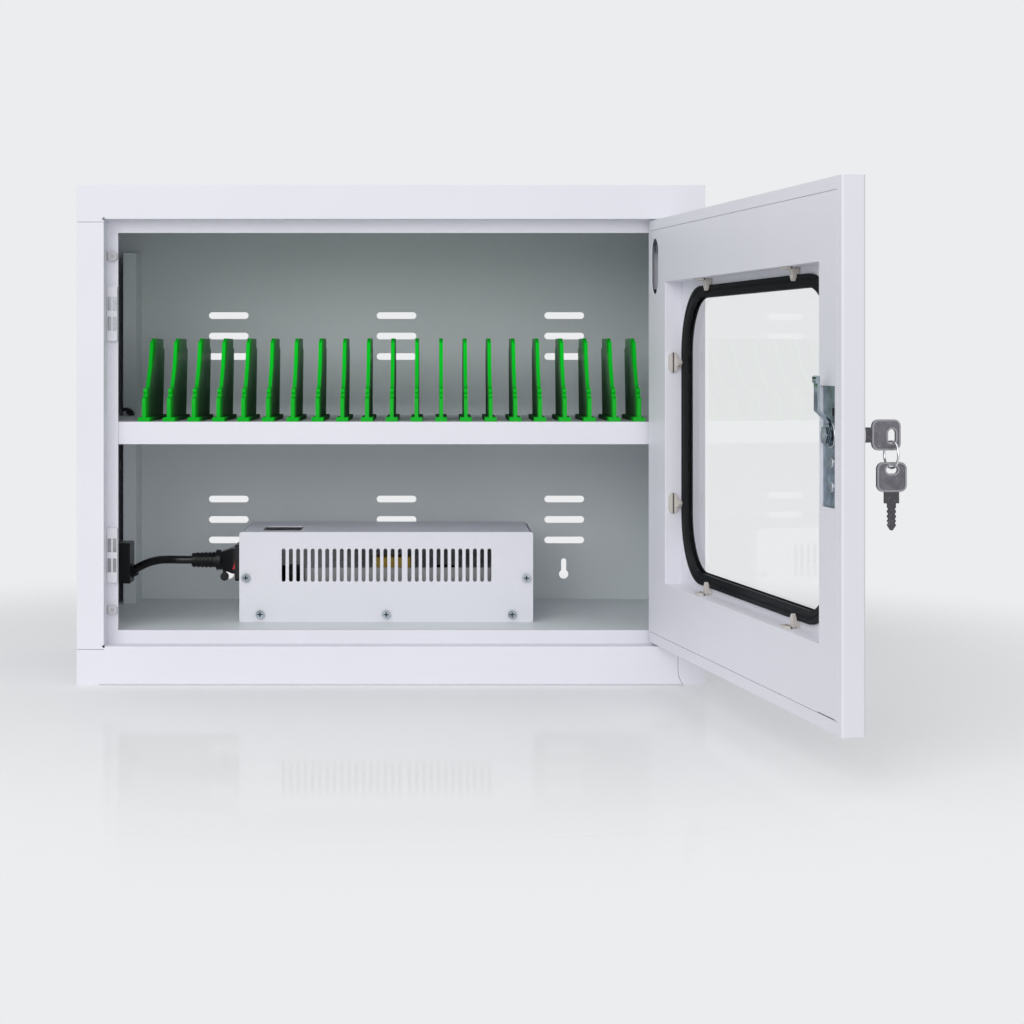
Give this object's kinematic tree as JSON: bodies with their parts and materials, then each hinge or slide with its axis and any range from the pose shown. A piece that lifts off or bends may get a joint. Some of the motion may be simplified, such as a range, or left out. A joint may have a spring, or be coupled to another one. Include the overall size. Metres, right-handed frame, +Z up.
{
  "type": "cell phone locker box",
  "caption": "Wall or table cabinet of folded white sheet steel with a glazed lockable door, a shelf of upright phone slots between green dividers, and a charger below.",
  "frame": {"origin": "centre of the cabinet's underside, on the surface it stands on", "axes": "+Z up, +X to the right seen from the front, +Y from the front to the back; the door is at the front, hinged on the right and open at rest"},
  "size_m": [0.5757, 0.6842, 0.398],
  "materials": {
    "powder_coat": "satin white powder coat with a fine texture",
    "green_plastic": "moulded, semi-gloss",
    "black_plastic": "moulded, matt",
    "catch_plastic": "moulded, satin",
    "bumper_plastic": "soft, matt",
    "clip_plastic": "moulded, satin",
    "red_plastic": "moulded, gloss",
    "seal_rubber": "extruded, satin",
    "lead_sheath": "extruded, satin",
    "clear_pane": "clear, polished",
    "zinc_steel": "zinc plated, satin",
    "zinc_plate": "zinc plated, bluish, satin",
    "spring_steel": "drawn wire",
    "bright_steel": "polished wire",
    "dark_nickel": "nickel plated, dark, polished rims",
    "circuit_board": "board with a transformer, a heat sink and capacitors"
  },
  "bodies": {
    "cabinet": {"top_panel": "powder_coat", "bottom_panel": "powder_coat", "floor_panel": "powder_coat", "side_panel_left": "powder_coat", "side_panel_right": "powder_coat", "back_panel": "powder_coat", "shelf": "powder_coat", "uprights": "powder_coat", "shelf_clips": "black_plastic", "catch_housings": "catch_plastic", "catch_poles": "zinc_steel", "door_bumpers": "bumper_plastic", "hinge_pin_lower": "zinc_steel", "mains_inlet": "black_plastic", "mains_lead": "lead_sheath", "lead_connector": "black_plastic", "charger_tray": "powder_coat", "charger_cover": "powder_coat", "charger_screws": "zinc_steel", "charger_supply": "circuit_board", "charger_inlet": "black_plastic", "divider_01": "green_plastic", "divider_02": "green_plastic", "divider_03": "green_plastic", "divider_04": "green_plastic", "divider_05": "green_plastic", "divider_06": "green_plastic", "divider_07": "green_plastic", "divider_08": "green_plastic", "divider_09": "green_plastic", "divider_10": "green_plastic", "divider_11": "green_plastic", "divider_12": "green_plastic", "divider_13": "green_plastic", "divider_14": "green_plastic", "divider_15": "green_plastic", "divider_16": "green_plastic", "divider_17": "green_plastic", "divider_18": "green_plastic", "divider_19": "green_plastic", "divider_20": "green_plastic", "divider_21": "green_plastic"},
    "rocker": {"charger_switch": "red_plastic"},
    "door": {"door_outer": "powder_coat", "door_inner": "powder_coat", "window_pane": "clear_pane", "window_seal": "seal_rubber", "window_clips": "clip_plastic", "lock_housing": "zinc_steel", "lock_plate": "zinc_plate", "lock_rivets": "zinc_steel", "hinge_bracket": "zinc_steel"},
    "upper_pin": {"hinge_pin_upper": "zinc_steel", "hinge_spring": "spring_steel"},
    "lock_turn": {"lock_plug": "zinc_steel", "latch_lever": "zinc_plate", "lever_nut": "zinc_steel", "key_in_lock": "dark_nickel"},
    "ring": {"key_ring": "bright_steel"},
    "hanging_key": {"spare_key": "dark_nickel"}
  },
  "joints": [
    {"name": "door_hinge", "type": "hinge", "parent": "cabinet", "child": "door", "pos_m": [0.217, -0.1195, 0.2], "axis": [0, 0, 1], "range_deg": [-99.1, 20]},
    {"name": "rocker_tilt", "type": "hinge", "parent": "cabinet", "child": "rocker", "pos_m": [-0.1294, -0.037, 0.0898], "axis": [0, 1, 0], "range_deg": [-20, 0]},
    {"name": "pin_slide", "type": "slide", "parent": "door", "child": "upper_pin", "axis": [0, 0, 1], "range_m": [-0.008, 0], "stiffness_N_per_m": 400, "springref_m": 0.004, "deforming": ["hinge_spring"]},
    {"name": "key_turn", "type": "hinge", "parent": "door", "child": "lock_turn", "pos_m": [0.28886, -0.53334, 0.2134], "axis": [0.9874, 0.1582, 0], "range_deg": [0, 90]},
    {"name": "ring_swing", "type": "hinge", "parent": "lock_turn", "child": "ring", "pos_m": [0.31364, -0.52937, 0.20955], "axis": [0.1582, -0.9874, 0], "range_deg": [-12, 45]},
    {"name": "spare_swing", "type": "hinge", "parent": "ring", "child": "hanging_key", "pos_m": [0.31364, -0.52937, 0.19315], "axis": [0.1582, -0.9874, 0], "range_deg": [-12, 45]}
  ]
}
